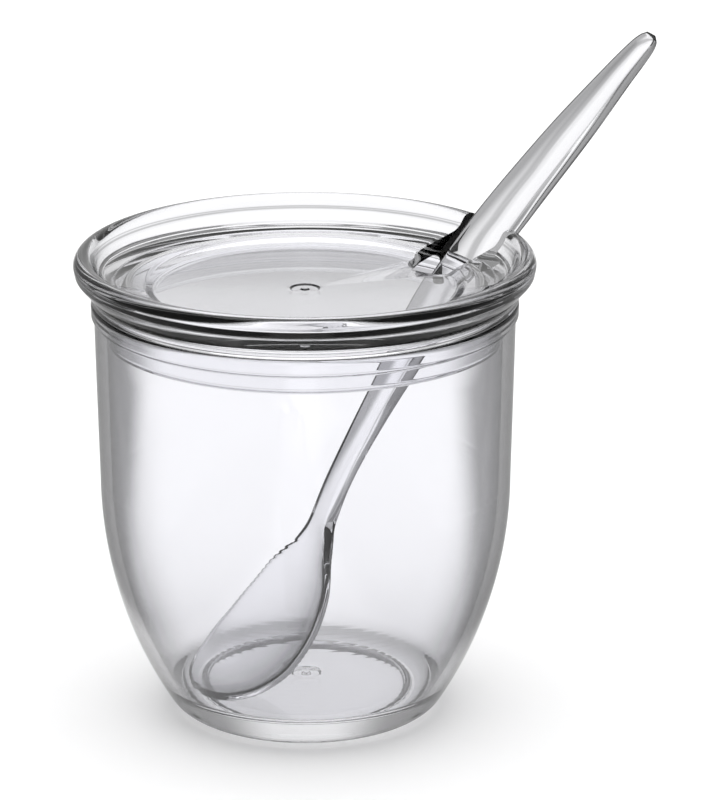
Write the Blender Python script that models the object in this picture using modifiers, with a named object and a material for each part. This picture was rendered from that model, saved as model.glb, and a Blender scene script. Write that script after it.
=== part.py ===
"""A clear plastic condiment jar, its notched drop-in lid, and the spoon that stands in the notch."""

import math

import bmesh
import bpy

# Every size is in metres and every angle in degrees. Z is up and the jar stands on z = 0.
# While it is built, the jar's axis is the Z axis. At the end the whole model moves along X and Y,
# so that the origin is the centre of its footprint on the table.
COLLECTION_NAME = "condiment_jar"
TURN_STEPS = 56
TOUCH_GAP = 0.0003
MERGE = 0.00001
SHARP_ANGLE = 28.0
CORNER_STEPS = 4
EDGE_STEPS = 3

# The jar: a straight upper wall with a slight taper, then one long arc down to a foot ring.
JAR_HEIGHT = 0.0916
WALL = 0.0025
WAIST_Z = 0.0522
WAIST_RADIUS = 0.04393
TAPER = 0.0205
BELLY_ARC = 0.092
BELLY_STEPS = 9
BEAD_RADIUS = 0.0454
BEAD_HEIGHT = 0.0034
BEAD_ROUND = 0.0009
BEAD_UNDER_ANGLE = -80.0
LIP_ROUND = 0.0011
FLOOR_Z = 0.0068
FLOOR_FILLET = 0.0034
FOOT_ROUND = 0.0070
FOOT_INNER_RADIUS = 0.0230
FOOT_RECESS = 0.0028
FOOT_FILLET = 0.0022

# The gate mark, a shallow ring with a nub, is moulded at the middle of the jar's floor and of the lid's disc.
GATE_RADIUS = 0.0033
GATE_FLOOR_RADIUS = 0.0028
GATE_DEPTH = 0.0004
NUB_RADIUS = 0.0010
NUB_TOP_RADIUS = 0.0007

# The lid: a flat sunk disc, a dished slope, a thick round lip that flares past the jar, and a plug skirt.
DISC_TOP_Z = 0.0936
DISC_THICKNESS = 0.0023
DISC_RADIUS = 0.0318
SLOPE_POINTS = ((0.0336, 0.0948), (0.0380, 0.0964), (0.0423, 0.0979), (0.0447, 0.0998))
LID_LIP_RADIUS = 0.0490
LID_LIP_ROUND = 0.0021
LID_LIP_ARC = (135.0, -15.0)
LID_LIP_STEPS = 7
LID_TOP_Z = 0.1015
FLARE_POINTS = ((0.0485, 0.0976), (0.0473, 0.0958), (0.0461, 0.0945))
COLLAR_RADIUS = 0.0454
COLLAR_TOP_Z = 0.0938
SKIRT_RADIUS = 0.0415
SKIRT_THICKNESS = 0.0022
SKIRT_BOTTOM_Z = 0.0836
SKIRT_STEPS = 6
POCKET_FILLET = 0.0024
POCKET_ARC_END = 75.0

# The notch lets the spoon out through disc, lip and skirt. It runs outwards at this angle from +X.
SPOON_HEADING = 31.0
NOTCH_WIDTH = 0.0154
NOTCH_INNER_REACH = 0.0270
NOTCH_OUTER_REACH = 0.0640
NOTCH_CUT_HEIGHT = 0.0290
NOTCH_STEPS = 32

# The spoon, seen from its side: where the bowl's tip is, and how steeply it climbs along its length.
BOWL_TIP = (-0.0264, 0.0086)
CLIMB = ((0.0, 12.0), (0.0094, 33.0), (0.0207, 48.0), (0.0316, 59.5), (0.0440, 64.0),
         (0.0560, 60.5), (0.0770, 55.6), (0.0990, 50.2), (0.1210, 43.6), (0.1300, 42.3))
CLIMB_STEP = 0.0004
SPOON_LENGTH = 0.1747
# The spoon's width, the thickness of its sides and its full thickness, at stations along its length.
WIDTHS = ((0.0, 0.0075), (0.0012, 0.0142), (0.0035, 0.0208), (0.0082, 0.0278), (0.0150, 0.0318),
          (0.0207, 0.0312), (0.0316, 0.0250), (0.0400, 0.0131), (0.0470, 0.0070), (0.0560, 0.0060),
          (0.0700, 0.0069), (0.0850, 0.0092), (0.1000, 0.0120), (0.1210, 0.0132), (0.1340, 0.0128),
          (0.1460, 0.0118), (0.1620, 0.0088), (0.1710, 0.0066), (0.1735, 0.0050), (0.1747, 0.0027))
EDGES = ((0.0, 0.0018), (0.0316, 0.0020), (0.0400, 0.0024), (0.0470, 0.0028), (0.0560, 0.0030),
         (0.0700, 0.0028), (0.0850, 0.0022), (0.1000, 0.0017), (0.1210, 0.0015), (0.1620, 0.0014),
         (0.1747, 0.0010))
KEELS = ((0.0, 0.0018), (0.0316, 0.0020), (0.0400, 0.0027), (0.0470, 0.0035), (0.0560, 0.0040),
         (0.0700, 0.0038), (0.0850, 0.0032), (0.1000, 0.0027), (0.1110, 0.0028), (0.1210, 0.0033),
         (0.1340, 0.0039), (0.1460, 0.0040), (0.1620, 0.0034), (0.1710, 0.0026), (0.1747, 0.0012))
# How far the upper face lies above the line of climb.
TOPS = ((0.0, 0.00095), (0.0150, 0.0010), (0.0316, 0.0008), (0.0400, 0.0008), (0.0470, 0.0013),
        (0.0560, 0.0018), (0.0700, 0.0014), (0.0850, 0.0008), (0.1000, 0.0005), (0.1210, 0.0003),
        (0.1340, 0.0005), (0.1460, 0.0008), (0.1620, 0.0010), (0.1747, 0.0009))
BOWL_END = 0.0470
BOWL_DEPTH = 0.0048
# The dish's depth follows a half wave along the bowl, deepest before its middle, with a soft start and end.
BOWL_DEEPEST_POWER = 0.8
BOWL_SOFT_POWER = 1.2
# The upper face is nearly flat, and under the handle lies a blunt keel.
HANDLE_CROWN = 0.08
KEEL_POWER = 1.25
EDGE_CHAMFER = 0.3
SECTION_POINTS = 9
# From the neck on, the handle rolls a little towards the front.
HANDLE_ROLL = 15.0
HANDLE_SHIFT = 0.0004
ROLL_START = 0.034
ROLL_LENGTH = 0.046
CROWN_START = 0.036
CROWN_LENGTH = 0.024
# The loft's stations lie closer together at the bowl, and every width near the two ends has one of its own.
LOFT_STATIONS = 52
LOFT_SPACING_POWER = 1.25
TIP_ZONE = 0.002
END_ZONE = 0.17

CLEAR_JAR = ("clear_jar_plastic", (0.93, 0.94, 0.95, 1.0), 0.04)
CLEAR_LID = ("clear_lid_plastic", (0.92, 0.93, 0.94, 1.0), 0.05)
CLEAR_SPOON = ("clear_spoon_plastic", (0.90, 0.91, 0.92, 1.0), 0.05)


def clear_scene():
    for obj in list(bpy.data.objects):
        bpy.data.objects.remove(obj, do_unlink=True)


def make_collection(name):
    collection = bpy.data.collections.new(name)
    bpy.context.scene.collection.children.link(collection)
    return collection


def plastic(name, colour, roughness):
    """Return a clear plastic material with the given surface colour."""
    material = bpy.data.materials.new(name)
    material.use_nodes = True
    shader = material.node_tree.nodes["Principled BSDF"]
    shader.inputs["Base Color"].default_value = colour
    shader.inputs["Roughness"].default_value = roughness
    shader.inputs["Metallic"].default_value = 0.0
    shader.inputs["Transmission Weight"].default_value = 0.9
    shader.inputs["IOR"].default_value = 1.49
    return material


def arc(centre, radius, start, end, steps):
    """Return points on an arc in the profile plane, from one angle to another, both ends included."""
    points = []
    for step in range(steps + 1):
        angle = math.radians(start + (end - start) * step / steps)
        points.append((centre[0] + radius * math.cos(angle), centre[1] + radius * math.sin(angle)))
    return points


def belly_radius(z, inset=0.0):
    """Return the jar wall's radius at a height, on its outside or a distance inside that."""
    if z >= WAIST_Z:
        return WAIST_RADIUS - inset + TAPER * (z - WAIST_Z)
    bend = BELLY_ARC - inset
    return WAIST_RADIUS - BELLY_ARC + math.sqrt(bend ** 2 - (WAIST_Z - z) ** 2)


def belly_corner(level, rounding, inset, steps):
    """Return the round corner between the belly and a level floor, from the floor's end to the belly's."""
    centre_z = level + rounding
    bend = BELLY_ARC - inset - rounding
    reach = math.sqrt(bend ** 2 - (WAIST_Z - centre_z) ** 2)
    lean = -math.degrees(math.atan2(WAIST_Z - centre_z, reach))
    centre = (WAIST_RADIUS - BELLY_ARC + reach, centre_z)
    return arc(centre, rounding, -90.0, lean, steps)


def gate_mark(z):
    """Return the gate mark's profile from the axis outwards, sunk into a face that looks up."""
    sunk = z - GATE_DEPTH
    return [(0.0, z), (NUB_TOP_RADIUS, z), (NUB_RADIUS, sunk), (GATE_FLOOR_RADIUS, sunk), (GATE_RADIUS, z)]


def jar_profile():
    """Return the jar's section, from the floor's middle up the inside, over the rim and down to the foot."""
    points = gate_mark(FLOOR_Z)
    points += belly_corner(FLOOR_Z, FLOOR_FILLET, WALL, CORNER_STEPS)
    first_z = points[-1][1]
    for step in range(1, BELLY_STEPS + 1):
        z = first_z + (WAIST_Z - first_z) * step / BELLY_STEPS
        points.append((belly_radius(z, WALL), z))
    lip_z = JAR_HEIGHT - LIP_ROUND
    lip_radius = belly_radius(lip_z, WALL)
    points += arc((lip_radius + LIP_ROUND, lip_z), LIP_ROUND, 180.0, 90.0, EDGE_STEPS)
    top_z = JAR_HEIGHT - BEAD_ROUND
    low_z = JAR_HEIGHT - BEAD_HEIGHT + BEAD_ROUND
    round_radius = BEAD_RADIUS - BEAD_ROUND
    points += arc((round_radius, top_z), BEAD_ROUND, 90.0, 0.0, EDGE_STEPS)
    points += arc((round_radius, low_z), BEAD_ROUND, 0.0, BEAD_UNDER_ANGLE, EDGE_STEPS)
    foot = belly_corner(0.0, FOOT_ROUND, 0.0, CORNER_STEPS)[::-1]
    foot_top = foot[0][1]
    for step in range(BELLY_STEPS):
        z = WAIST_Z + (foot_top - WAIST_Z) * step / BELLY_STEPS
        points.append((belly_radius(z), z))
    points += foot
    points.append((FOOT_INNER_RADIUS, 0.0))
    recess = (FOOT_INNER_RADIUS - FOOT_FILLET, FOOT_RECESS - FOOT_FILLET)
    points += arc(recess, FOOT_FILLET, 0.0, 90.0, CORNER_STEPS)
    points += [(0.0, FOOT_RECESS)]
    return points


def lid_profile():
    """Return the lid's section, from the disc's middle out over the lip, and back under it by the skirt."""
    points = gate_mark(DISC_TOP_Z)
    points += [(DISC_RADIUS, DISC_TOP_Z)]
    points += list(SLOPE_POINTS)
    lip_centre = (LID_LIP_RADIUS - LID_LIP_ROUND, LID_TOP_Z - LID_LIP_ROUND)
    points += arc(lip_centre, LID_LIP_ROUND, *LID_LIP_ARC, LID_LIP_STEPS)
    points += list(FLARE_POINTS)
    seat_z = JAR_HEIGHT + TOUCH_GAP
    points += [(COLLAR_RADIUS, COLLAR_TOP_Z), (COLLAR_RADIUS, seat_z), (SKIRT_RADIUS, seat_z)]
    skirt_round = SKIRT_THICKNESS / 2
    skirt_centre = (SKIRT_RADIUS - skirt_round, SKIRT_BOTTOM_Z + skirt_round)
    points += arc(skirt_centre, skirt_round, 0.0, -180.0, SKIRT_STEPS)
    under_z = DISC_TOP_Z - DISC_THICKNESS
    pocket_radius = SKIRT_RADIUS - SKIRT_THICKNESS - POCKET_FILLET
    points += arc((pocket_radius, under_z), POCKET_FILLET, 0.0, POCKET_ARC_END, CORNER_STEPS)
    points += [(DISC_RADIUS, under_z), (0.0, under_z)]
    return points


def turned(name, profile, collection):
    """Turn a section about the Z axis into a closed mesh object."""
    mesh = bpy.data.meshes.new(name)
    vertices = [(radius, 0.0, z) for radius, z in profile]
    edges = [(index, index + 1) for index in range(len(vertices) - 1)]
    mesh.from_pydata(vertices, edges, [])
    obj = bpy.data.objects.new(name, mesh)
    collection.objects.link(obj)
    screw = obj.modifiers.new("turn", "SCREW")
    screw.axis = "Z"
    screw.angle = math.tau
    screw.steps = TURN_STEPS
    screw.render_steps = TURN_STEPS
    screw.use_merge_vertices = True
    screw.merge_threshold = MERGE
    return obj


def hide_cutter(obj):
    obj.hide_render = True
    obj.display_type = "WIRE"


def notch_cutters(collection):
    """Return the notch's round inner end and its straight way out, as two cutter objects."""
    heading = math.radians(SPOON_HEADING)
    half = NOTCH_WIDTH / 2
    end_reach = NOTCH_INNER_REACH + half
    middle_z = (LID_TOP_Z + SKIRT_BOTTOM_Z) / 2

    round_mesh = bmesh.new()
    bmesh.ops.create_cone(round_mesh, cap_ends=True, segments=NOTCH_STEPS, radius1=half, radius2=half,
                          depth=NOTCH_CUT_HEIGHT)
    round_data = bpy.data.meshes.new("notch_end")
    round_mesh.to_mesh(round_data)
    round_mesh.free()
    round_end = bpy.data.objects.new("notch_end", round_data)
    round_end.location = (end_reach * math.cos(heading), end_reach * math.sin(heading), middle_z)
    round_end.rotation_euler = (0.0, 0.0, heading)

    way_mesh = bmesh.new()
    bmesh.ops.create_cube(way_mesh, size=1.0)
    way_size = (NOTCH_OUTER_REACH - end_reach, NOTCH_WIDTH, NOTCH_CUT_HEIGHT)
    bmesh.ops.scale(way_mesh, vec=way_size, verts=way_mesh.verts)
    way_data = bpy.data.meshes.new("notch_way")
    way_mesh.to_mesh(way_data)
    way_mesh.free()
    way = bpy.data.objects.new("notch_way", way_data)
    reach = (NOTCH_OUTER_REACH + end_reach) / 2
    way.location = (reach * math.cos(heading), reach * math.sin(heading), middle_z)
    way.rotation_euler = (0.0, 0.0, heading)

    for cutter in (round_end, way):
        collection.objects.link(cutter)
        hide_cutter(cutter)
    return round_end, way


def cut(obj, cutter):
    boolean = obj.modifiers.new("cut_" + cutter.name, "BOOLEAN")
    boolean.operation = "DIFFERENCE"
    boolean.solver = "EXACT"
    boolean.object = cutter


def along(table, place):
    """Read a table of (place, value) pairs at a place, in a straight line from pair to pair."""
    if place <= table[0][0]:
        return table[0][1]
    for (start, low), (end, high) in zip(table, table[1:]):
        if place <= end:
            share = (place - start) / (end - start)
            return low + (high - low) * share
    return table[-1][1]


def side_line(lengths):
    """Follow the spoon's climb from the bowl's tip, and return (reach, height, angle) at each length."""
    reach, height = BOWL_TIP
    place = 0.0
    stations = []
    for length in lengths:
        while place < length - CLIMB_STEP / 2:
            angle = math.radians(along(CLIMB, place + CLIMB_STEP / 2))
            reach += CLIMB_STEP * math.cos(angle)
            height += CLIMB_STEP * math.sin(angle)
            place += CLIMB_STEP
        stations.append((reach, height, math.radians(along(CLIMB, length))))
    return stations


def spoon_section(length):
    """Return the section at a length along the spoon, as (across, up) points round its outline."""
    half = along(WIDTHS, length) / 2
    edge = along(EDGES, length)
    keel = along(KEELS, length) - edge
    level = along(TOPS, length)
    share = min(1.0, length / BOWL_END)
    wave = max(0.0, math.sin(math.pi * share ** BOWL_DEEPEST_POWER))
    dish = -BOWL_DEPTH * wave ** BOWL_SOFT_POWER
    crown = dish + HANDLE_CROWN * half * min(1.0, max(0.0, (length - CROWN_START) / CROWN_LENGTH))
    chamfer = EDGE_CHAMFER * edge
    top, bottom = [], []
    for index in range(SECTION_POINTS):
        share = math.sin(math.pi * (index / (SECTION_POINTS - 1) - 0.5))
        across = share * (half - chamfer)
        bulge = 1.0 - share ** 2
        under = level - edge + dish * bulge - keel * (1.0 - abs(share) ** KEEL_POWER)
        top.append((across, level + crown * bulge))
        bottom.append((across, under))
    right_side = [(half, level - chamfer), (half, level - edge + chamfer)]
    left_side = [(-across, up) for across, up in right_side[::-1]]
    return top + right_side + bottom[::-1] + left_side


def place_in_notch(length, across, up):
    """Roll a point of the section towards the front, by the share that the handle has at its length."""
    share = min(1.0, max(0.0, (length - ROLL_START) / ROLL_LENGTH))
    roll = math.radians(HANDLE_ROLL) * share ** 2 * (3.0 - 2.0 * share)
    rolled_across = across * math.cos(roll) - up * math.sin(roll) - HANDLE_SHIFT * share
    rolled_up = across * math.sin(roll) + up * math.cos(roll)
    return rolled_across, rolled_up


def spoon_mesh():
    """Loft the spoon through its sections, with a flat face at the bowl's tip and at the handle's end."""
    lengths = set()
    for index in range(LOFT_STATIONS + 1):
        share = index / LOFT_STATIONS
        lengths.add(round(SPOON_LENGTH * share ** LOFT_SPACING_POWER, 6))
    lengths.update(round(place, 6) for place, width in WIDTHS if not TIP_ZONE < place < END_ZONE)
    lengths = sorted(lengths)
    heading = math.radians(SPOON_HEADING)
    mesh = bmesh.new()
    rings = []
    for length, (reach, height, angle) in zip(lengths, side_line(lengths)):
        ring = []
        for point in spoon_section(length):
            across, up = place_in_notch(length, *point)
            out = reach - up * math.sin(angle)
            x = out * math.cos(heading) - across * math.sin(heading)
            y = out * math.sin(heading) + across * math.cos(heading)
            ring.append(mesh.verts.new((x, y, height + up * math.cos(angle))))
        rings.append(ring)
    count = len(rings[0])
    for ring, following in zip(rings, rings[1:]):
        for index in range(count):
            after = (index + 1) % count
            mesh.faces.new((ring[index], ring[after], following[after], following[index]))
    mesh.faces.new(rings[0][::-1])
    mesh.faces.new(rings[-1])
    bmesh.ops.recalc_face_normals(mesh, faces=mesh.faces)
    data = bpy.data.meshes.new("spoon")
    mesh.to_mesh(data)
    mesh.free()
    return data


def finish(obj, material):
    obj.data.materials.append(material)
    obj.data.shade_smooth()
    obj.data.set_sharp_from_angle(angle=math.radians(SHARP_ANGLE))


def stand_at_origin(objects, stand):
    """Move the model so that the origin is the middle of its footprint, at table level."""
    bpy.context.view_layer.update()
    graph = bpy.context.evaluated_depsgraph_get()
    corners = []
    for obj in objects:
        shape = obj.evaluated_get(graph)
        corners += [shape.matrix_world @ vertex.co for vertex in shape.data.vertices]
    xs = [corner.x for corner in corners]
    ys = [corner.y for corner in corners]
    stand.location = (-(min(xs) + max(xs)) / 2, -(min(ys) + max(ys)) / 2, 0.0)


def main():
    clear_scene()
    parts = make_collection(COLLECTION_NAME)
    cutters = make_collection(COLLECTION_NAME + "_cutters")
    stand = bpy.data.objects.new("stand", None)
    parts.objects.link(stand)

    jar = turned("jar", jar_profile(), parts)
    lid = turned("lid", lid_profile(), parts)
    notch = notch_cutters(cutters)
    for cutter in notch:
        cut(lid, cutter)
    spoon = bpy.data.objects.new("spoon", spoon_mesh())
    parts.objects.link(spoon)

    finish(jar, plastic(*CLEAR_JAR))
    finish(lid, plastic(*CLEAR_LID))
    finish(spoon, plastic(*CLEAR_SPOON))
    pieces = (jar, lid, spoon)
    for piece in pieces + notch:
        piece.parent = stand
    stand_at_origin(pieces, stand)


main()
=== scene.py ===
"""A clear plastic condiment jar with its notched lid and its spoon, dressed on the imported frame."""

import math

import bmesh
import bpy
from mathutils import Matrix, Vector


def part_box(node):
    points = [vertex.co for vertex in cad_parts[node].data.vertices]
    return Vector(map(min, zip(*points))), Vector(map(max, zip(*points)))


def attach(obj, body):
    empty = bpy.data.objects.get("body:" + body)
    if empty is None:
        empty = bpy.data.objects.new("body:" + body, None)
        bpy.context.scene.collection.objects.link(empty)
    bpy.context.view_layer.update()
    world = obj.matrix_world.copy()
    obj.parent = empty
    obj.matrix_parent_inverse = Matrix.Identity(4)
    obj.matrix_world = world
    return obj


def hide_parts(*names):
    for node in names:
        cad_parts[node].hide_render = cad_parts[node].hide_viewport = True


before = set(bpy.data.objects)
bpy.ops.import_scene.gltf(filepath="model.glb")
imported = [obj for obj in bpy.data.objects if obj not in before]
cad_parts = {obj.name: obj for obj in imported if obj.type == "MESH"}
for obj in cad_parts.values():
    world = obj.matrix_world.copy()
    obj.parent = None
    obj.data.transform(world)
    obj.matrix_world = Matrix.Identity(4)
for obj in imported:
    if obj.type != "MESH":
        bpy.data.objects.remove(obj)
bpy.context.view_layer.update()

bl_info = {
    "name": "Clear Condiment Jar",
    "version": (1, 0, 0),
    "blender": (4, 5, 0),
    "location": "3D View > Sidebar > Jar",
    "description": "Models a clear condiment jar, its lid and its spoon, and the studio around them",
    "category": "Object",
}

BODY = "root"
JAR_LOW, JAR_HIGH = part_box("jar")
AXIS_X = (JAR_LOW[0] + JAR_HIGH[0]) / 2
AXIS_Y = (JAR_LOW[1] + JAR_HIGH[1]) / 2

# How close corners are merged, the steps of a full turn, the air under the lid's collar, and the
# radius out to which a gate mark's profile reaches.
MERGE = 0.000008
TURN_STEPS = 256
LID_GAP = 0.0003
MARK_LAND = 0.0040

# Lengths along the spoon: the tip's part, the bowl's shoulder, the neck, and the handle's round end.
TIP_PART = 0.0035
SHOULDER = 0.022
NECK = 0.048
END_PART = 0.004

# The least gap between two parts' sections, and the longest stride that follows the spoon's climb.
STATION_GAP = 0.0003
STRIDE = 0.0002

# Where along the spoon the handle's crown and its roll set in, and how long they take.
CROWN_START = 0.036
CROWN_LENGTH = 0.024
ROLL_START = 0.034
ROLL_LENGTH = 0.046

# The bowl's dish: how far its deepest place moves to the tip, and how narrow the deep part is. Then
# the rounding of the spoon's edges, as a share of the side's height and at most.
BOWL_SKEW = 0.8
BOWL_NARROWING = 1.2
CORNER_SHARE = 0.47
LARGEST_CORNER = 0.0009

# How fine each piece's moulding waves are, and how far a surface turns away before its painted shade
# sets in.
WAVE_SIZES = {"jar": 35.0, "lid": 45.0, "spoon": 60.0}
PAINTED_RIM_STARTS = {"jar": 0.30, "lid": 0.48, "spoon": 0.08}
PLASTIC_IOR = 1.49

# Stretches over which the painted shade on the floor, seen only through the plastic, changes along Y and
# then across.
FRONT_FADE = (-0.25, -0.03)
FAR_FADE = (0.22, 0.32)
FARTHER_RISE = (0.388, 0.46)
PAINTED_BAND_START = (0.295, 0.327)
PAINTED_BAND_END = (0.358, 0.388)
WIDENING = (0.25, 1.25)
SOFTENING = (0.22, 0.35)
SIDE_FADE = (0.0425, 0.0625)
FAR_SIDE_END = 0.16
BRIGHT_MIDDLE = AXIS_X - 0.0055
NEAR_SPREAD = -0.045
# Painted glow: the stretch of radius over which the light that the floor gives under the jar's foot
# fades out.
PAINTED_GLOW_FADE = (0.022, 0.030)

# The same for the surroundings, along and across the unit sphere of view directions.
AIR_FADE = (-0.2, 0.6)
AIR_SIDE_FADE = (0.12, 0.45)

# The floor's radius, the camera's sensor in millimetres, and the camera's distance aside of the jar.
FLOOR_RADIUS = 6.0
SENSOR_WIDTH = 36.0
CAMERA_ASIDE = 0.01017

# The photo's height and the row of the lid's middle in it, in pixels.
PHOTO_HEIGHT = 800.0
LID_ROW = 288.0


class JarSizes(bpy.types.PropertyGroup):
    """Sizes of the turned jar."""

    height: bpy.props.FloatProperty(
        name="Height", description="From the table to the rim", default=0.0916, unit="LENGTH")
    wall: bpy.props.FloatProperty(
        name="Wall", description="Thickness of the side wall", default=0.0025, unit="LENGTH")
    waist_z: bpy.props.FloatProperty(
        name="Waist height", description="Where the straight wall starts to curve in",
        default=0.0522, unit="LENGTH")
    waist_radius: bpy.props.FloatProperty(
        name="Waist radius", description="Outer radius at the waist", default=0.04393, unit="LENGTH")
    taper: bpy.props.FloatProperty(
        name="Taper", description="Growth of the radius for each unit of height over the waist",
        default=0.0205)
    belly_arc: bpy.props.FloatProperty(
        name="Belly arc", description="Radius of the arc from waist to foot, seen from the side",
        default=0.092, unit="LENGTH")
    bead_radius: bpy.props.FloatProperty(
        name="Bead radius", description="Outer radius of the rim's bead", default=0.0454, unit="LENGTH")
    bead_height: bpy.props.FloatProperty(
        name="Bead height", description="Height of the rim's bead", default=0.0034, unit="LENGTH")
    floor_z: bpy.props.FloatProperty(
        name="Floor height", description="Height of the inside floor", default=0.0068, unit="LENGTH")
    floor_fillet: bpy.props.FloatProperty(
        name="Floor fillet", description="Round corner between floor and wall",
        default=0.0034, unit="LENGTH")
    foot_round: bpy.props.FloatProperty(
        name="Foot round", description="Round corner between belly and foot",
        default=0.0070, unit="LENGTH")
    foot_inner: bpy.props.FloatProperty(
        name="Foot inner radius", description="Radius of the recess under the foot",
        default=0.0230, unit="LENGTH")
    foot_recess: bpy.props.FloatProperty(
        name="Foot recess", description="Depth of the recess under the foot",
        default=0.0028, unit="LENGTH")
    foot_fillet: bpy.props.FloatProperty(
        name="Foot fillet", description="Round corner inside the foot ring",
        default=0.0022, unit="LENGTH")


class LidSizes(bpy.types.PropertyGroup):
    """Sizes of the lid and of the notch in it."""

    disc_z: bpy.props.FloatProperty(
        name="Disc height", description="Height of the sunk disc's top", default=0.0936, unit="LENGTH")
    disc_thickness: bpy.props.FloatProperty(
        name="Disc thickness", description="Thickness of the sunk disc", default=0.0023, unit="LENGTH")
    lip_radius: bpy.props.FloatProperty(
        name="Lip radius", description="Outer radius of the lid's lip", default=0.04898, unit="LENGTH")
    lip_round: bpy.props.FloatProperty(
        name="Lip round", description="Radius of the lip's round edge", default=0.0021, unit="LENGTH")
    top_z: bpy.props.FloatProperty(
        name="Top height", description="Height of the lip's top", default=0.1015, unit="LENGTH")
    skirt_radius: bpy.props.FloatProperty(
        name="Skirt radius", description="Outer radius of the plug skirt",
        default=0.0415, unit="LENGTH")
    skirt_thickness: bpy.props.FloatProperty(
        name="Skirt thickness", description="Thickness of the plug skirt",
        default=0.0022, unit="LENGTH")
    skirt_z: bpy.props.FloatProperty(
        name="Skirt bottom", description="Height of the skirt's lower edge",
        default=0.0836, unit="LENGTH")
    collar_radius: bpy.props.FloatProperty(
        name="Collar radius", description="Outer radius of the collar on the rim",
        default=0.0454, unit="LENGTH")
    notch_width: bpy.props.FloatProperty(
        name="Notch width", description="Width of the spoon notch", default=0.0154, unit="LENGTH")
    notch_reach: bpy.props.FloatProperty(
        name="Notch reach", description="Distance from the axis to the notch's inner end",
        default=0.0270, unit="LENGTH")
    notch_round: bpy.props.FloatProperty(
        name="Notch round", description="Rounding of the notch's upper edges",
        default=0.0006, unit="LENGTH")


class SpoonSizes(bpy.types.PropertyGroup):
    """Sizes and place of the spoon."""

    heading: bpy.props.FloatProperty(
        name="Heading", description="Way that the handle leans, from +X towards +Y",
        default=math.radians(31.0), unit="ROTATION")
    tip_reach: bpy.props.FloatProperty(
        name="Tip reach", description="The bowl tip's distance along the heading",
        default=-0.0264, unit="LENGTH")
    tip_z: bpy.props.FloatProperty(
        name="Tip height", description="The bowl tip's height", default=0.0086, unit="LENGTH")
    length: bpy.props.FloatProperty(
        name="Length", description="Length along the spoon", default=0.1747, unit="LENGTH")
    bowl_end: bpy.props.FloatProperty(
        name="Bowl end", description="Length at which the bowl becomes the neck",
        default=0.0470, unit="LENGTH")
    bowl_depth: bpy.props.FloatProperty(
        name="Bowl depth", description="Depth of the bowl's dish", default=0.0048, unit="LENGTH")
    roll: bpy.props.FloatProperty(
        name="Roll", description="How far the handle's upper face turns towards the front",
        default=math.radians(15.0), unit="ROTATION")
    shift: bpy.props.FloatProperty(
        name="Shift", description="How far the handle lies towards the front of the notch",
        default=0.0004, unit="LENGTH")
    keel_power: bpy.props.FloatProperty(
        name="Keel", description="How sharp the ridge under the handle is, from 1 for a sharp one",
        default=2.0)
    crown: bpy.props.FloatProperty(
        name="Crown", description="Rise of the handle's upper face, as a share of half its width",
        default=0.08)


class PlasticLook(bpy.types.PropertyGroup):
    """Colour and finish of the clear plastic, with the painted shade towards its outline."""

    tint: bpy.props.FloatVectorProperty(
        name="Tint", description="Colour of the clear plastic", default=(0.977, 0.977, 0.998),
        subtype="COLOR", size=3, min=0.0, max=1.0)
    polish: bpy.props.FloatProperty(
        name="Roughness", description="Roughness of the polished surface", default=0.012,
        subtype="FACTOR", min=0.0, max=1.0)
    # Painted shade: the share of its colour that the plastic keeps at its outline, darkening towards it.
    painted_rim_tone: bpy.props.FloatProperty(
        name="Slant tone", description="Share of its colour that the plastic keeps at its outline",
        default=0.0)
    flow: bpy.props.FloatProperty(
        name="Flow waves", description="Height of the faint waves left by moulding",
        default=0.00001, unit="LENGTH")


class StageLook(bpy.types.PropertyGroup):
    """Floor with its painted shade and painted glow, surroundings, softbox and camera."""

    floor_colour: bpy.props.FloatVectorProperty(
        name="Floor", description="Colour of the pale floor", default=(0.90, 0.90, 0.90),
        subtype="COLOR", size=3, min=0.0, max=1.0)
    even_air: bpy.props.FloatProperty(
        name="Even air", description="Brightness of the surroundings seen straight", default=1.25)
    air: bpy.props.FloatProperty(
        name="Air", description="Brightness of the far side through the plastic", default=0.85)
    # Painted shade on the floor, seen only through the plastic: its brightness, the share that the far
    # floor keeps, and the darkness of a painted band across the far floor.
    floor_seen: bpy.props.FloatProperty(
        name="Floor seen", description="Brightness of the floor through the plastic", default=0.90)
    dim_far: bpy.props.FloatProperty(
        name="Dim far floor", description="Share of its brightness that the far floor keeps",
        default=0.82)
    far_painted_band: bpy.props.FloatProperty(
        name="Far band", description="Darkness of the sweep's fold across the far floor", default=0.35)
    # These dim the surroundings and the floor's painted shade alike, as seen through the plastic.
    dim_front: bpy.props.FloatProperty(
        name="Dim front", description="Brightness of the camera's side through the plastic",
        default=0.50)
    dim_side: bpy.props.FloatProperty(
        name="Dim side", description="Brightness of the floor's sides through the plastic",
        default=0.44)
    # Painted glow: light that the floor itself gives under the jar's foot, where no lamp is.
    painted_underfoot_glow: bpy.props.FloatProperty(
        name="Glow under the jar", description="Light that the floor gives back under the jar's foot",
        default=0.62)
    # Painted shade: how fast the floor's unshaded part widens far behind the jar.
    bright_part_widening: bpy.props.FloatProperty(
        name="Bright part widening", description="How fast the floor's bright part widens far behind the jar",
        default=0.3)
    softbox_side: bpy.props.FloatProperty(
        name="Softbox side", description="Side of the square softbox", default=1.6, unit="LENGTH")
    softbox_power: bpy.props.FloatProperty(
        name="Softbox power", description="Power of the softbox", default=6.0, unit="POWER")
    camera_distance: bpy.props.FloatProperty(
        name="Camera distance", description="From the lens to the middle of the lid",
        default=1.0169, unit="LENGTH")
    camera_pitch: bpy.props.FloatProperty(
        name="Camera pitch", description="How far the camera looks down", default=math.radians(18.15),
        unit="ROTATION")
    lens: bpy.props.FloatProperty(
        name="Lens", description="Focal length on a 36 mm sensor", default=216.0, unit="CAMERA")


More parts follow.
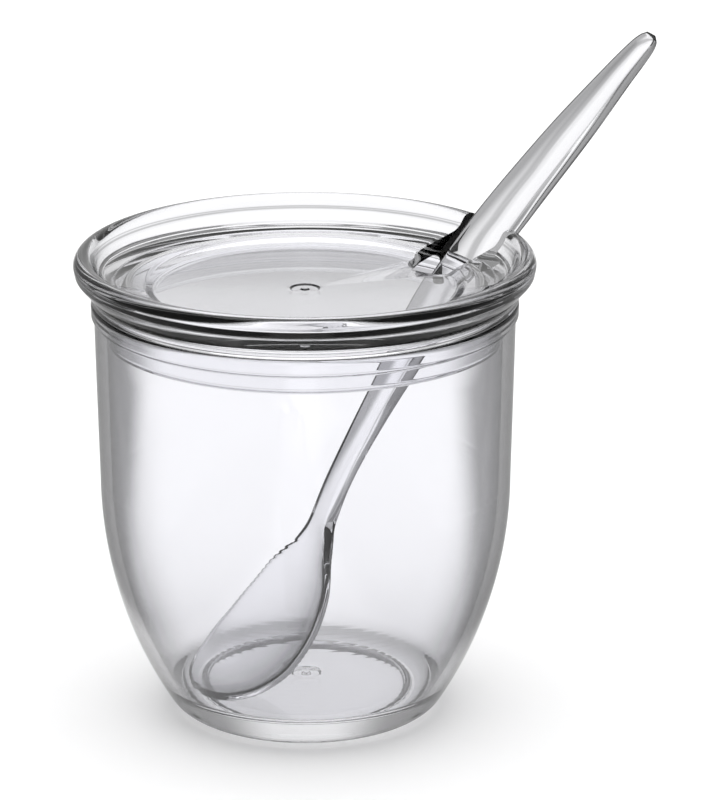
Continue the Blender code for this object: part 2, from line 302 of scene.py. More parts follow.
def settle():
    """Leave edit mode and deselect everything."""
    if bpy.context.object and bpy.context.object.mode != "OBJECT":
        bpy.ops.object.mode_set(mode="OBJECT")
    bpy.ops.object.select_all(action="DESELECT")


def arc(centre, radius, start, end, steps):
    """Points on an arc in the profile plane, from one angle in degrees to another."""
    points = []
    for step in range(steps + 1):
        angle = math.radians(start + (end - start) * step / steps)
        points.append((centre[0] + radius * math.cos(angle), centre[1] + radius * math.sin(angle)))
    return points


def fillet(corner, first, second, radius, steps=0, degrees_per_step=9.0):
    """Points on the round corner between the way to a first point and the way to a second one."""
    here = Vector(corner)
    back = (Vector(first) - here).normalized()
    ahead = (Vector(second) - here).normalized()
    opening = back.angle(ahead)
    turn = math.pi - opening
    centre = here + (back + ahead).normalized() * radius / math.sin(opening / 2)
    start = here + back * radius / math.tan(opening / 2) - centre
    side = 1.0 if back.x * ahead.y - back.y * ahead.x < 0 else -1.0
    steps = steps or max(2, math.ceil(math.degrees(turn) / degrees_per_step))
    points = []
    for step in range(steps + 1):
        angle = side * turn * step / steps
        spoke = Vector((start.x * math.cos(angle) - start.y * math.sin(angle),
                        start.x * math.sin(angle) + start.y * math.cos(angle)))
        points.append(tuple(centre + spoke))
    return points


def rounded(corners, degrees_per_step=9.0):
    """Round each (radius, height, fillet) corner of a profile, and return its points."""
    points = []
    last = len(corners) - 1
    for index, (radius, height, rounding) in enumerate(corners):
        if rounding == 0.0 or index in (0, last):
            points.append((radius, height))
            continue
        before, after = corners[index - 1][:2], corners[index + 1][:2]
        points += fillet((radius, height), before, after, rounding, degrees_per_step=degrees_per_step)
    return points


def held(points, hold=0.00012):
    """Add a point close to both ends of each long straight stretch, which keeps its shading flat."""
    result = [points[0]]
    for start, end in zip(points, points[1:]):
        run = Vector(end) - Vector(start)
        if run.length > hold * 6:
            step = run.normalized() * hold
            result.append(tuple(Vector(start) + step))
            result.append(tuple(Vector(end) - step))
        result.append(end)
    return result


def draw_profile(name, points):
    """Draw a profile as a chain of edges, by extruding one vertex from point to point."""
    settle()
    bpy.ops.mesh.primitive_plane_add(size=0.001, location=(0.0, 0.0, 0.0))
    piece = bpy.context.object
    piece.name = name
    piece.data.name = name
    bpy.ops.object.mode_set(mode="EDIT")
    bpy.ops.mesh.select_all(action="SELECT")
    bpy.ops.mesh.merge(type="CENTER")
    place = Vector((AXIS_X + points[0][0], AXIS_Y, points[0][1]))
    bpy.ops.transform.translate(value=place)
    for radius, height in points[1:]:
        following = Vector((AXIS_X + radius, AXIS_Y, height))
        bpy.ops.mesh.extrude_vertices_move(TRANSFORM_OT_translate={"value": following - place})
        place = following
    return piece


def turn(piece):
    """Spin the profile in edit mode about the jar's axis into a closed shell."""
    bpy.ops.mesh.select_all(action="SELECT")
    bpy.ops.mesh.spin(steps=TURN_STEPS, dupli=False, angle=math.tau,
                      center=(AXIS_X, AXIS_Y, 0.0), axis=(0.0, 0.0, 1.0))
    bpy.ops.mesh.select_all(action="SELECT")
    bpy.ops.mesh.remove_doubles(threshold=MERGE)
    bpy.ops.mesh.select_all(action="SELECT")
    bpy.ops.mesh.normals_make_consistent(inside=False)
    bpy.ops.object.mode_set(mode="OBJECT")
    bpy.ops.object.shade_smooth()
    return piece


def belly_radius(sizes, z, inset=0.0):
    """The wall's radius at a height, on its outside or a distance inside that."""
    if z >= sizes.waist_z:
        return sizes.waist_radius - inset + sizes.taper * (z - sizes.waist_z)
    bend = sizes.belly_arc - inset
    return sizes.waist_radius - sizes.belly_arc + math.sqrt(bend ** 2 - (sizes.waist_z - z) ** 2)


def belly_corner(sizes, level, rounding, inset, steps):
    """The round corner between the belly and a level floor, from the floor's end to the belly's."""
    centre_z = level + rounding
    bend = sizes.belly_arc - inset - rounding
    reach = math.sqrt(bend ** 2 - (sizes.waist_z - centre_z) ** 2)
    lean = -math.degrees(math.atan2(sizes.waist_z - centre_z, reach))
    centre = (sizes.waist_radius - sizes.belly_arc + reach, centre_z)
    return arc(centre, rounding, -90.0, lean, steps)


def gate_mark(level, depth):
    """The gate mark's profile from the axis outwards: a low nub in a shallow round recess."""
    nub_top, nub_foot, recess_foot, recess_edge = 0.0007, 0.0010, 0.0028, 0.0033
    sunk = level - depth
    return rounded([(0.0, level, 0.0), (nub_top, level, 0.00025), (nub_foot, sunk, 0.00025),
                    (recess_foot, sunk, 0.0004), (recess_edge, level, 0.0003),
                    (MARK_LAND, level, 0.0)], 15.0)


def belly_points(sizes, start, end, inset, steps):
    """Points along the belly between two heights."""
    heights = [start + (end - start) * step / steps for step in range(steps + 1)]
    return [(belly_radius(sizes, z, inset), z) for z in heights]


def jar_profile(sizes):
    """From the floor's middle up the inside, over the rim, down the outside and under the foot."""
    points = gate_mark(sizes.floor_z, 0.0004)
    corner = belly_corner(sizes, sizes.floor_z, sizes.floor_fillet, sizes.wall, 12)
    points += corner
    points += belly_points(sizes, corner[-1][1], sizes.waist_z, sizes.wall, 40)[1:]
    rim_z = sizes.height
    bead_z = rim_z - sizes.bead_height
    inner_round, bead_round, crease, undercut = 0.0011, 0.0009, 0.0003, 0.0001
    rim = [(belly_radius(sizes, sizes.waist_z, sizes.wall), sizes.waist_z, 0.0),
           (belly_radius(sizes, rim_z, sizes.wall), rim_z, inner_round),
           (sizes.bead_radius, rim_z, bead_round),
           (sizes.bead_radius, bead_z, bead_round),
           (belly_radius(sizes, bead_z) + undercut, bead_z - undercut, crease),
           (belly_radius(sizes, sizes.waist_z), sizes.waist_z, 0.0)]
    points += rounded(rim)[1:]
    foot = belly_corner(sizes, 0.0, sizes.foot_round, 0.0, 16)[::-1]
    points += belly_points(sizes, sizes.waist_z, foot[0][1], 0.0, 44)[1:-1]
    points += foot
    inner = sizes.foot_inner
    under = [(foot[-1][0], 0.0, 0.0), (inner, 0.0, crease),
             (inner, sizes.foot_recess, sizes.foot_fillet), (0.0, sizes.foot_recess, 0.0)]
    points += rounded(under)[1:]
    return held(points)


def lid_profile(sizes, seat_z):
    """From the disc's middle out over the lip, under it to the seat, round the skirt and back."""
    points = gate_mark(sizes.disc_z, 0.00025)
    disc_radius = 0.0320
    slope_foot = (0.0340, 0.09495)
    slope_top = (0.04387, 0.09835)
    under_lip = (0.0487, 0.0975)
    collar_top = 0.0936
    lip = (sizes.lip_radius - sizes.lip_round, sizes.top_z - sizes.lip_round)
    lip_start = (lip[0] - 0.00182, lip[1] + 0.00105)
    lip_end = (lip[0] + 0.00205, lip[1] - 0.00044)
    upper = [(MARK_LAND, sizes.disc_z, 0.0), (disc_radius, sizes.disc_z, 0.0016), (*slope_foot, 0.0030),
             (*slope_top, 0.0040), (*lip_start, 0.0)]
    points += rounded(upper)[1:-1]
    points += arc(lip, sizes.lip_round, 150.0, -12.0, 20)
    collar = sizes.collar_radius
    skirt = sizes.skirt_radius
    inside = skirt - sizes.skirt_thickness
    under_z = sizes.disc_z - sizes.disc_thickness
    pocket_rise = 0.0027
    lower = [(*lip_end, 0.0), (*under_lip, 0.0015), (collar, collar_top, 0.0018),
             (collar, seat_z, 0.0003), (skirt, seat_z, 0.0003), (skirt, sizes.skirt_z, 0.0008),
             (inside, sizes.skirt_z, 0.0008), (inside, under_z + pocket_rise, 0.0016),
             (disc_radius, under_z, 0.0030), (0.0, under_z, 0.0)]
    points += rounded(lower)[1:]
    return held(points)


def notch_cutter(sizes, heading):
    """The notch's outline, a round inner end with a straight way out, pushed up into a cutting block."""
    settle()
    half = sizes.notch_width / 2
    centre = sizes.notch_reach + half
    along = Vector((math.cos(heading), math.sin(heading), 0.0))
    margin = 0.004
    way_out = 0.04
    low = sizes.skirt_z - margin
    high = sizes.top_z + margin
    place = Vector((AXIS_X, AXIS_Y, low)) + along * centre
    bpy.ops.mesh.primitive_circle_add(vertices=96, radius=half, fill_type="NGON", location=place)
    cutter = bpy.context.object
    cutter.name = "notch_cutter"
    bpy.ops.object.transform_apply(location=True, rotation=True, scale=True)
    bpy.ops.object.mode_set(mode="EDIT")
    bpy.ops.mesh.select_all(action="DESELECT")
    mesh = bmesh.from_edit_mesh(cutter.data)
    for vertex in mesh.verts:
        if (vertex.co - place).dot(along) > half * 0.02:
            vertex.select = True
    mesh.select_flush(True)
    bmesh.update_edit_mesh(cutter.data)
    bpy.ops.transform.translate(value=along * way_out)
    bpy.ops.mesh.select_all(action="SELECT")
    bpy.ops.mesh.extrude_region_move(TRANSFORM_OT_translate={"value": (0.0, 0.0, high - low)})
    bpy.ops.mesh.select_all(action="SELECT")
    bpy.ops.mesh.normals_make_consistent(inside=False)
    bpy.ops.object.mode_set(mode="OBJECT")
    return cutter


def cut_notch(lid, cutter, sizes, heading):
    """Cut the notch out of the lid, and round the edges that it leaves on the lid's upper side."""
    settle()
    lid.select_set(True)
    bpy.context.view_layer.objects.active = lid
    boolean = lid.modifiers.new("notch", "BOOLEAN")
    boolean.operation = "DIFFERENCE"
    boolean.solver = "EXACT"
    boolean.object = cutter
    bpy.ops.object.modifier_apply(modifier=boolean.name)
    bpy.data.objects.remove(cutter)
    half = sizes.notch_width / 2
    along = Vector((math.cos(heading), math.sin(heading), 0.0))
    centre = Vector((AXIS_X, AXIS_Y, 0.0)) + along * (sizes.notch_reach + half)
    tolerance = 0.00003
    lowest = sizes.disc_z - 0.001
    least_rise = 0.25

    def on_wall(vertex):
        """Whether a corner lies on the notch's wall."""
        offset = Vector((vertex.co.x, vertex.co.y, 0.0)) - centre
        outward = offset.dot(along)
        away = offset.length if outward < 0 else (offset - along * outward).length
        return abs(away - half) < tolerance

    bpy.ops.object.mode_set(mode="EDIT")
    bpy.ops.mesh.select_mode(type="EDGE")
    bpy.ops.mesh.select_all(action="DESELECT")
    mesh = bmesh.from_edit_mesh(lid.data)
    mesh.normal_update()
    for edge in mesh.edges:
        if len(edge.link_faces) == 2 and all(on_wall(vertex) for vertex in edge.verts):
            walls = [all(on_wall(vertex) for vertex in face.verts) for face in edge.link_faces]
            if walls[0] != walls[1]:
                upper = edge.link_faces[walls.index(False)]
                edge.select = upper.normal.z > least_rise and edge.verts[0].co.z > lowest
    bmesh.update_edit_mesh(lid.data)
    if not any(edge.select for edge in mesh.edges):
        raise RuntimeError("the notch left no edge to round")
    bpy.ops.mesh.bevel(offset=sizes.notch_round, segments=4, profile=0.5, clamp_overlap=True)
    bpy.ops.object.mode_set(mode="OBJECT")
    bpy.ops.object.shade_smooth_by_angle(angle=math.radians(35.0))


# Pairs of a length along the spoon and a value there: the climb in degrees, the width, the height of
# the side, the depth from the side's top to the keel, and the height of the side's top.
CLIMB = ((0.0, 12.0), (0.0094, 33.0), (0.0207, 48.0), (0.0316, 59.5), (0.0440, 64.0),
         (0.0560, 60.5), (0.0770, 55.6), (0.0990, 50.2), (0.1210, 43.6), (0.1300, 42.3))
WIDTHS = ((0.0, 0.0075), (0.0012, 0.0142), (0.0035, 0.0208), (0.0082, 0.0278), (0.0150, 0.0318),
          (0.0207, 0.0312), (0.0316, 0.0251), (0.0400, 0.0132), (0.0470, 0.0067), (0.0560, 0.0060),
          (0.0700, 0.0070), (0.0850, 0.0091), (0.1000, 0.0117), (0.1210, 0.0124), (0.1340, 0.0117),
          (0.1460, 0.0107), (0.1620, 0.0079), (0.1710, 0.0061), (0.1735, 0.0047), (0.1747, 0.0026))
EDGES = ((0.0, 0.0018), (0.0316, 0.0020), (0.0400, 0.0023), (0.0470, 0.0025), (0.0560, 0.0024),
         (0.0700, 0.0021), (0.0850, 0.0019), (0.1000, 0.0017), (0.1210, 0.0018), (0.1340, 0.0019),
         (0.1460, 0.0019), (0.1620, 0.0018), (0.1710, 0.0016), (0.1735, 0.0013), (0.1745, 0.0008),
         (0.1747, 0.0004))
KEELS = ((0.0, 0.0018), (0.0316, 0.0020), (0.0400, 0.0028), (0.0470, 0.0037), (0.0560, 0.0043),
         (0.0700, 0.0042), (0.0850, 0.0036), (0.1000, 0.0027), (0.1110, 0.0026), (0.1210, 0.0029),
         (0.1340, 0.0032), (0.1460, 0.0032), (0.1620, 0.0029), (0.1710, 0.0024), (0.1735, 0.0018),
         (0.1745, 0.0010), (0.1747, 0.0005))
TOPS = ((0.0, 0.00095), (0.0150, 0.0010), (0.0316, 0.0008), (0.0400, 0.0008), (0.0470, 0.0013),
        (0.0560, 0.0018), (0.0700, 0.0014), (0.0850, 0.0009), (0.1000, 0.0006), (0.1210, 0.0008),
        (0.1340, 0.0012), (0.1460, 0.0014), (0.1620, 0.0015), (0.1710, 0.0012), (0.1747, 0.0009))


def straight_table(table, place):
    """Read a table of (place, value) pairs at a place, in a straight line from pair to pair."""
    for (start, low), (end, high) in zip(table, table[1:]):
        if place <= end:
            return low + (high - low) * (place - start) / (end - start)
    return table[-1][1]


def along_table(table, place):
    """Read a table of (place, value) pairs at a place, on a smooth curve through the pairs."""
    if place <= table[0][0]:
        return table[0][1]
    if place >= table[-1][0]:
        return table[-1][1]
    index = max(i for i in range(len(table) - 1) if table[i][0] <= place)

    def slope(i):
        """A slope at pair i that never overshoots its neighbours."""
        if i == 0 or i == len(table) - 1:
            near = min(i, len(table) - 2)
            return (table[near + 1][1] - table[near][1]) / (table[near + 1][0] - table[near][0])
        before = (table[i][1] - table[i - 1][1]) / (table[i][0] - table[i - 1][0])
        after = (table[i + 1][1] - table[i][1]) / (table[i + 1][0] - table[i][0])
        return 0.0 if before * after <= 0 else 2.0 * before * after / (before + after)

    (start, low), (end, high) = table[index], table[index + 1]
    span = end - start
    t = (place - start) / span
    return (low * (2 * t ** 3 - 3 * t ** 2 + 1) + span * slope(index) * (t ** 3 - 2 * t ** 2 + t)
            + high * (3 * t ** 2 - 2 * t ** 3) + span * slope(index + 1) * (t ** 3 - t ** 2))


def eased(share):
    """A share held between 0 and 1, with a soft start and a soft end."""
    share = min(1.0, max(0.0, share))
    return share ** 2 * (3.0 - 2.0 * share)


def side_line(sizes, lengths):
    """Follow the spoon's climb from the bowl's tip: (reach, height, angle) at each length."""
    reach, height = sizes.tip_reach, sizes.tip_z
    place = 0.0
    stations = []
    for length in lengths:
        steps = max(1, math.ceil((length - place) / STRIDE))
        stride = (length - place) / steps
        for step in range(steps):
            angle = math.radians(straight_table(CLIMB, place + (step + 0.5) * stride))
            reach += stride * math.cos(angle)
            height += stride * math.sin(angle)
        place = length
        stations.append((reach, height, math.radians(straight_table(CLIMB, length))))
    return stations


def spoon_section(sizes, length, face_steps=8, corner_steps=5):
    """The section at a length along the spoon, as (across, up) points round its outline."""
    half = along_table(WIDTHS, length) / 2
    edge = along_table(EDGES, length)
    keel = along_table(KEELS, length) - edge
    top = along_table(TOPS, length)
    share = min(1.0, length / sizes.bowl_end)
    dish = -sizes.bowl_depth * max(0.0, math.sin(math.pi * share ** BOWL_SKEW)) ** BOWL_NARROWING
    crown = dish + sizes.crown * half * eased((length - CROWN_START) / CROWN_LENGTH)
    corner = min(CORNER_SHARE * edge, LARGEST_CORNER)
    upper = fillet((half, top), (0.0, top + 2 * crown), (half, top - edge), corner, corner_steps)
    keel_foot = (0.0, top - edge - sizes.keel_power * keel + 2 * dish)
    lower = fillet((half, top - edge), (half, top), keel_foot, corner, corner_steps)
    outline = []
    for step in range(face_steps):
        across = upper[0][0] * step / face_steps
        outline.append((across, top + crown * (1.0 - (across / half) ** 2)))
    outline += upper + lower
    for step in range(1, face_steps + 1):
        across = lower[-1][0] * (1.0 - step / face_steps)
        depth = keel * (1.0 - (across / half) ** sizes.keel_power)
        outline.append((across, top - edge - depth + dish * (1.0 - (across / half) ** 2)))
    return outline + [(-across, up) for across, up in outline[-2:0:-1]]


def spoon_rings(sizes, stations):
    """The spoon's sections in place, one ring of corners for each station."""
    end = sizes.length - END_PART
    even = [sizes.length * (i / stations) ** 1.1 for i in range(stations + 1)]
    lengths = [TIP_PART * (i / 8) ** 2 for i in range(9)]
    lengths += [place for place in even if TIP_PART + STATION_GAP < place < SHOULDER - STATION_GAP]
    lengths += [SHOULDER + (NECK - SHOULDER) * i / 70 for i in range(71)]
    lengths += [place for place in even if NECK + STATION_GAP < place < end - STATION_GAP]
    lengths += [sizes.length - END_PART * (i / 10) ** 2 for i in range(10, -1, -1)]
    rings = []
    for length, (reach, height, angle) in zip(lengths, side_line(sizes, lengths)):
        turned = eased((length - ROLL_START) / ROLL_LENGTH)
        roll = sizes.roll * turned
        aside = -sizes.shift * turned
        ring = []
        for flat_across, flat_up in spoon_section(sizes, length):
            across = aside + flat_across * math.cos(roll) - flat_up * math.sin(roll)
            up = flat_across * math.sin(roll) + flat_up * math.cos(roll)
            out = reach - up * math.sin(angle)
            x = out * math.cos(sizes.heading) - across * math.sin(sizes.heading)
            y = out * math.sin(sizes.heading) + across * math.cos(sizes.heading)
            ring.append(Vector((AXIS_X + x, AXIS_Y + y, height + up * math.cos(angle))))
        rings.append(ring)
    return rings


def model_spoon(sizes):
    """Start from a filled circle at the bowl's tip, and push it out section by section."""
    rings = spoon_rings(sizes, stations=170)
    settle()
    bpy.ops.mesh.primitive_circle_add(vertices=len(rings[0]), radius=0.01, fill_type="NGON")
    spoon = bpy.context.object
    spoon.name = "clear_spoon"
    spoon.data.name = "clear_spoon"
    bpy.ops.object.mode_set(mode="EDIT")
    mesh = bmesh.from_edit_mesh(spoon.data)
    face = mesh.faces[:][0]
    for vertex, place in zip([loop.vert for loop in face.loops], rings[0]):
        vertex.co = place
    for ring in rings[1:]:
        bpy.ops.mesh.extrude_region_move()
        mesh = bmesh.from_edit_mesh(spoon.data)
        face = [f for f in mesh.faces if f.select][0]
        for vertex, place in zip([loop.vert for loop in face.loops], ring):
            vertex.co = place
        bmesh.update_edit_mesh(spoon.data)
    bpy.ops.mesh.select_all(action="SELECT")
    bpy.ops.mesh.normals_make_consistent(inside=False)
    bpy.ops.object.mode_set(mode="OBJECT")
    bpy.ops.object.shade_smooth_by_angle(angle=math.radians(30.0))
    return spoon


def node(tree, kind, operation=None, **inputs):
    """Add a shader node of one kind, with its operation, and with a value or a link for each input."""
    made = tree.nodes.new("ShaderNode" + kind)
    if operation:
        made.operation = operation
    for name, value in inputs.items():
        feed(tree, made.inputs[name.replace("_", " ")], value)
    return made


def feed(tree, socket, value):
    """Link an input to another node's output, or give it a plain value."""
    if isinstance(value, bpy.types.NodeSocket):
        tree.links.new(value, socket)
    else:
        socket.default_value = value


def calculate(tree, operation, *values):
    """The result of a Math node on outputs and plain values."""
    made = node(tree, "Math", operation)
    for socket, value in zip(made.inputs, values):
        feed(tree, socket, value)
    return made.outputs["Value"]


def change(tree, value, start, end, first, last, smooth=True):
    """A value that goes from a first to a last one while an output goes from start to end."""
    made = node(tree, "MapRange", Value=value, From_Min=start, From_Max=end, To_Min=first, To_Max=last)
    made.interpolation_type = "SMOOTHSTEP" if smooth else "LINEAR"
    return made.outputs["Result"]


def tinted(tree, colour, tone):
    """A colour multiplied by a tone."""
    made = node(tree, "Mix", Factor=1.0)
    made.data_type = "RGBA"
    made.blend_type = "MULTIPLY"
    feed(tree, made.inputs["A"], colour)
    feed(tree, made.inputs["B"], tone)
    return made.outputs["Result"]


def finish_group():
    """The moulded finish that every clear piece shares: a faint flow of waves, and hazy polish."""
    group = bpy.data.node_groups.new("moulded_finish", "ShaderNodeTree")
    for name, kind in (("Tint", "Color"), ("Polish", "Float"), ("Wave Size", "Float")):
        group.interface.new_socket(name, in_out="INPUT", socket_type="NodeSocket" + kind)
    for name, kind in (("Color", "Color"), ("Roughness", "Float"), ("Height", "Float")):
        group.interface.new_socket(name, in_out="OUTPUT", socket_type="NodeSocket" + kind)
    given = group.nodes.new("NodeGroupInput")
    result = group.nodes.new("NodeGroupOutput")
    place = node(group, "TexCoord").outputs["Object"]
    waves = node(group, "TexNoise", Vector=place, Scale=given.outputs["Wave Size"], Detail=2.0)
    haze = node(group, "TexNoise", Vector=place, Scale=60.0, Detail=4.0).outputs["Fac"]
    haze_range, dust_range = (0.35, 0.75), (0.3, 0.8)
    least_haze, most_haze, dust_tone = 0.5, 1.8, 0.992
    spread = change(group, haze, *haze_range, least_haze, most_haze, smooth=False)
    shade = change(group, haze, *dust_range, 1.0, dust_tone, smooth=False)
    rough = calculate(group, "MULTIPLY", spread, given.outputs["Polish"])
    feed(group, result.inputs["Height"], waves.outputs["Fac"])
    feed(group, result.inputs["Roughness"], rough)
    feed(group, result.inputs["Color"], tinted(group, given.outputs["Tint"], shade))
    return group


def clear_plastic(piece, look):
    """A clear moulded plastic with its own waves, and painted shade in its colour where its surface
    turns away.
    """
    material = bpy.data.materials.new(piece + "_plastic")
    material.use_nodes = True
    tree = material.node_tree
    shader = tree.nodes["Principled BSDF"]
    shader.inputs["Metallic"].default_value = 0.0
    shader.inputs["Transmission Weight"].default_value = 1.0
    shader.inputs["IOR"].default_value = PLASTIC_IOR
    finish = tree.nodes.new("ShaderNodeGroup")
    finish.node_tree = bpy.data.node_groups.get("moulded_finish") or finish_group()
    finish.inputs["Tint"].default_value = (*look.tint, 1.0)
    finish.inputs["Polish"].default_value = look.polish
    finish.inputs["Wave Size"].default_value = WAVE_SIZES[piece]
    # Painted shade: the colour darkens as the surface turns away, down to the painted rim tone at the
    # outline.
    slant = node(tree, "LayerWeight", Blend=0.5).outputs["Facing"]
    tone = change(tree, slant, PAINTED_RIM_STARTS[piece], 1.0, 1.0, look.painted_rim_tone)
    feed(tree, shader.inputs["Base Color"], tinted(tree, finish.outputs["Color"], tone))
    feed(tree, shader.inputs["Roughness"], finish.outputs["Roughness"])
    bump = node(tree, "Bump", Strength=1.0, Distance=look.flow, Height=finish.outputs["Height"])
    feed(tree, shader.inputs["Normal"], bump.outputs["Normal"])
    return material


def dress(piece, node, material):
    """Give a finished piece its material, and let it stand for its CAD node."""
    piece.data.materials.clear()
    piece.data.materials.append(material)
    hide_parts(node)
    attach(piece, BODY)


class JAR_OT_model_jar(bpy.types.Operator):
    """Turn the clear jar from its profile"""

    bl_idname = "condiment.model_jar"
    bl_label = "Model Jar"

    def execute(self, context):
        scene = context.scene
        jar = turn(draw_profile("clear_jar", jar_profile(scene.jar_sizes)))
        dress(jar, "jar", clear_plastic("jar", scene.plastic_look))
        return {"FINISHED"}


class JAR_OT_model_lid(bpy.types.Operator):
    """Turn the clear lid and cut its spoon notch"""

    bl_idname = "condiment.model_lid"
    bl_label = "Model Lid"

    def execute(self, context):
        scene = context.scene
        seat_z = scene.jar_sizes.height + LID_GAP
        lid = turn(draw_profile("clear_lid", lid_profile(scene.lid_sizes, seat_z)))
        heading = scene.spoon_sizes.heading
        cut_notch(lid, notch_cutter(scene.lid_sizes, heading), scene.lid_sizes, heading)
        dress(lid, "lid", clear_plastic("lid", scene.plastic_look))
        return {"FINISHED"}


class JAR_OT_model_spoon(bpy.types.Operator):
    """Push the clear spoon out section by section"""

    bl_idname = "condiment.model_spoon"
    bl_label = "Model Spoon"

    def execute(self, context):
        scene = context.scene
        spoon = model_spoon(scene.spoon_sizes)
        dress(spoon, "spoon", clear_plastic("spoon", scene.plastic_look))
        return {"FINISHED"}


def even_light_mask(tree):
    """A mask that is 1 for straight views and soft light on the floor, and 0 through the plastic."""
    path = node(tree, "LightPath")
    even = calculate(tree, "ADD", path.outputs["Is Camera Ray"], path.outputs["Diffuse Depth"])
    even.node.use_clamp = True
    return even


def floor_tone(tree, look, x, y):
    """The floor's painted shade, seen only through the plastic: it fades to the front and sides, with a
    painted dark band across the far floor.
    """
    front = change(tree, y, *FRONT_FADE, look.dim_front, look.floor_seen)
    far = change(tree, y, *FAR_FADE, 1.0, look.dim_far, smooth=False)
    farther = change(tree, y, *FARTHER_RISE, 1.0, 1.0 / look.dim_far, smooth=False)
    along = calculate(tree, "MULTIPLY", calculate(tree, "MULTIPLY", front, far), farther)

    # A painted dark band across the far floor.
    painted_band_rise = change(tree, y, *PAINTED_BAND_START, 0.0, look.far_painted_band)
    painted_band_fall = change(tree, y, *PAINTED_BAND_END, 1.0, 0.0)
    painted_band = calculate(tree, "MULTIPLY", painted_band_rise, painted_band_fall)
    with_painted_band = calculate(tree, "MULTIPLY", along, calculate(tree, "SUBTRACT", 1.0, painted_band))

    across = calculate(tree, "ABSOLUTE", calculate(tree, "SUBTRACT", x, BRIGHT_MIDDLE))
    spread = calculate(tree, "MULTIPLY_ADD", y, NEAR_SPREAD, across)
    widening = change(tree, y, *WIDENING, 0.0, -look.bright_part_widening, smooth=False)
    edge = calculate(tree, "ADD", spread, widening)
    fade_end = change(tree, y, *SOFTENING, SIDE_FADE[1], FAR_SIDE_END, smooth=False)
    side = change(tree, edge, SIDE_FADE[0], fade_end, 1.0, look.dim_side)
    return calculate(tree, "MULTIPLY", with_painted_band, side)


def floor_material(look):
    """A pale matte floor that is even by itself, with painted shade where it is seen through the plastic
    and a painted glow underfoot.
    """
    material = bpy.data.materials.new("pale_floor")
    material.use_nodes = True
    tree = material.node_tree
    shader = tree.nodes["Principled BSDF"]
    shader.inputs["Roughness"].default_value = 0.9
    shader.inputs["Specular IOR Level"].default_value = 0.1
    shader.inputs["Emission Strength"].default_value = 1.0
    place = node(tree, "TexCoord").outputs["Object"]
    split = node(tree, "SeparateXYZ", Vector=place)
    # Painted shade: the floor is darker where only rays through the plastic see it.
    through = floor_tone(tree, look, split.outputs["X"], split.outputs["Y"])
    even = calculate(tree, "MAXIMUM", through, even_light_mask(tree))
    feed(tree, shader.inputs["Base Color"], tinted(tree, (*look.floor_colour, 1.0), even))

    flat = node(tree, "VectorMath", "MULTIPLY")
    feed(tree, flat.inputs[0], place)
    feed(tree, flat.inputs[1], (1.0, 1.0, 0.0))
    centred = node(tree, "VectorMath", "SUBTRACT")
    feed(tree, centred.inputs[0], flat.outputs["Vector"])
    feed(tree, centred.inputs[1], (AXIS_X, AXIS_Y, 0.0))
    radius = node(tree, "VectorMath", "LENGTH")
    feed(tree, radius.inputs[0], centred.outputs["Vector"])
    # Painted glow: the floor gives light under the jar's foot.
    glow = change(tree, radius.outputs["Value"], *PAINTED_GLOW_FADE, look.painted_underfoot_glow, 0.0)
    feed(tree, shader.inputs["Emission Color"], glow)
    material.cycles.emission_sampling = "NONE"
    return material


def studio_air(look):
    """White surroundings that, through the plastic, fade from the far side to the camera's side."""
    world = bpy.data.worlds.new("studio_air")
    world.use_nodes = True
    tree = world.node_tree
    background = tree.nodes["Background"]
    split = node(tree, "SeparateXYZ", Vector=node(tree, "TexCoord").outputs["Generated"])
    fade = change(tree, split.outputs["Y"], *AIR_FADE, look.dim_front, look.air)
    across = calculate(tree, "ABSOLUTE", split.outputs["X"])
    side = change(tree, across, *AIR_SIDE_FADE, 1.0, look.dim_side)
    through = calculate(tree, "MULTIPLY", fade, side)
    strength = node(tree, "Mix", Factor=even_light_mask(tree), A=through, B=look.even_air)
    feed(tree, background.inputs["Strength"], strength.outputs["Result"])
    background.inputs["Color"].default_value = (1.0, 1.0, 1.0, 1.0)
    return world


def soft_light(name, place, aim, side, power):
    """A square soft light that shines from a place to a point."""
    data = bpy.data.lights.new(name, "AREA")
    data.shape = "SQUARE"
    data.size = side
    data.energy = power
    light = bpy.data.objects.new(name, data)
    bpy.context.scene.collection.objects.link(light)
    light.location = place
    light.rotation_euler = (Vector(aim) - Vector(place)).to_track_quat("-Z", "Y").to_euler()


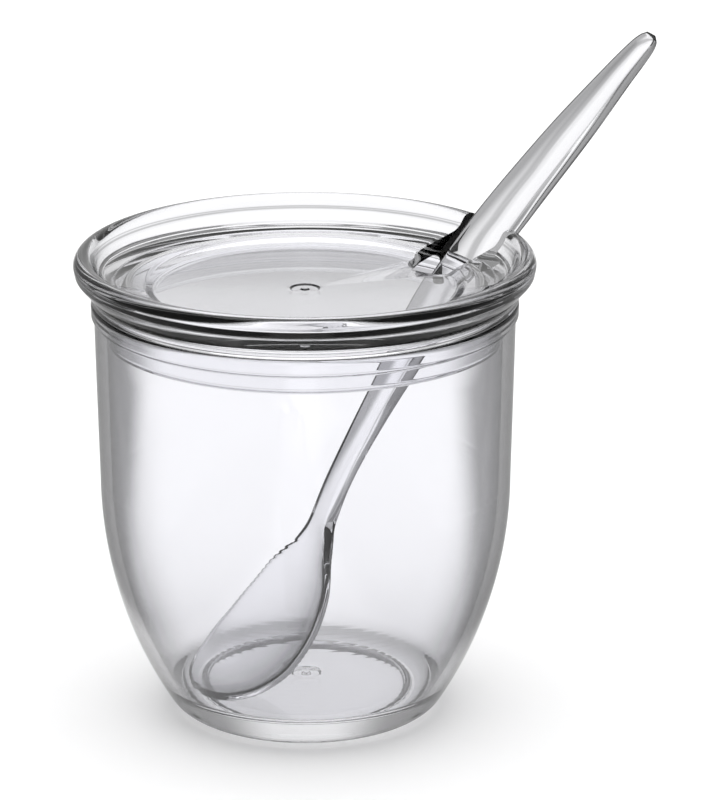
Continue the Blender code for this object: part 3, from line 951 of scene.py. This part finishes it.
class JAR_OT_set_stage(bpy.types.Operator):
    """Lay the pale floor, hang the softbox and set the camera"""

    bl_idname = "condiment.set_stage"
    bl_label = "Set Stage"

    def execute(self, context):
        scene = context.scene
        look = scene.stage_look
        settle()
        bpy.ops.mesh.primitive_circle_add(vertices=96, radius=FLOOR_RADIUS, fill_type="NGON")
        floor = context.object
        floor.name = "pale_floor"
        floor.data.materials.append(floor_material(look))

        scene.world = studio_air(look)
        middle = (AXIS_X, AXIS_Y, 0.05)
        above = (AXIS_X, AXIS_Y + 0.2, 1.6)
        soft_light("top_softbox", above, middle, look.softbox_side, look.softbox_power)

        camera_data = bpy.data.cameras.new("camera")
        camera_data.lens = look.lens
        camera_data.clip_start = 0.01
        camera = bpy.data.objects.new("camera", camera_data)
        scene.collection.objects.link(camera)
        focal_rows = look.lens / SENSOR_WIDTH * PHOTO_HEIGHT
        drop = look.camera_pitch + math.atan((LID_ROW - PHOTO_HEIGHT / 2) / focal_rows)
        camera.location = (AXIS_X + CAMERA_ASIDE,
                           AXIS_Y - look.camera_distance * math.cos(drop),
                           scene.lid_sizes.disc_z + look.camera_distance * math.sin(drop))
        camera.rotation_euler = (math.pi / 2 - look.camera_pitch, 0.0, 0.0)
        scene.camera = camera
        scene.view_settings.view_transform = "Standard"
        return {"FINISHED"}


class JAR_PT_panel(bpy.types.Panel):
    """The jar's steps, in the order in which they are run"""

    bl_idname = "JAR_PT_panel"
    bl_label = "Clear Condiment Jar"
    bl_space_type = "VIEW_3D"
    bl_region_type = "UI"
    bl_category = "Jar"

    def draw(self, context):
        for step in STEPS:
            self.layout.operator(step.bl_idname)


GROUPS = {"jar_sizes": JarSizes, "lid_sizes": LidSizes, "spoon_sizes": SpoonSizes,
          "plastic_look": PlasticLook, "stage_look": StageLook}
STEPS = (JAR_OT_model_jar, JAR_OT_model_lid, JAR_OT_model_spoon, JAR_OT_set_stage)


def register():
    for name, group in GROUPS.items():
        bpy.utils.register_class(group)
        setattr(bpy.types.Scene, name, bpy.props.PointerProperty(type=group))
    for step in STEPS:
        bpy.utils.register_class(step)
    bpy.utils.register_class(JAR_PT_panel)


def unregister():
    bpy.utils.unregister_class(JAR_PT_panel)
    for step in reversed(STEPS):
        bpy.utils.unregister_class(step)
    for name, group in GROUPS.items():
        delattr(bpy.types.Scene, name)
        bpy.utils.unregister_class(group)


def main():
    register()
    bpy.ops.condiment.model_jar()
    bpy.ops.condiment.model_lid()
    bpy.ops.condiment.model_spoon()
    bpy.ops.condiment.set_stage()
    bpy.context.view_layer.update()


if __name__ == "__main__":
    main()
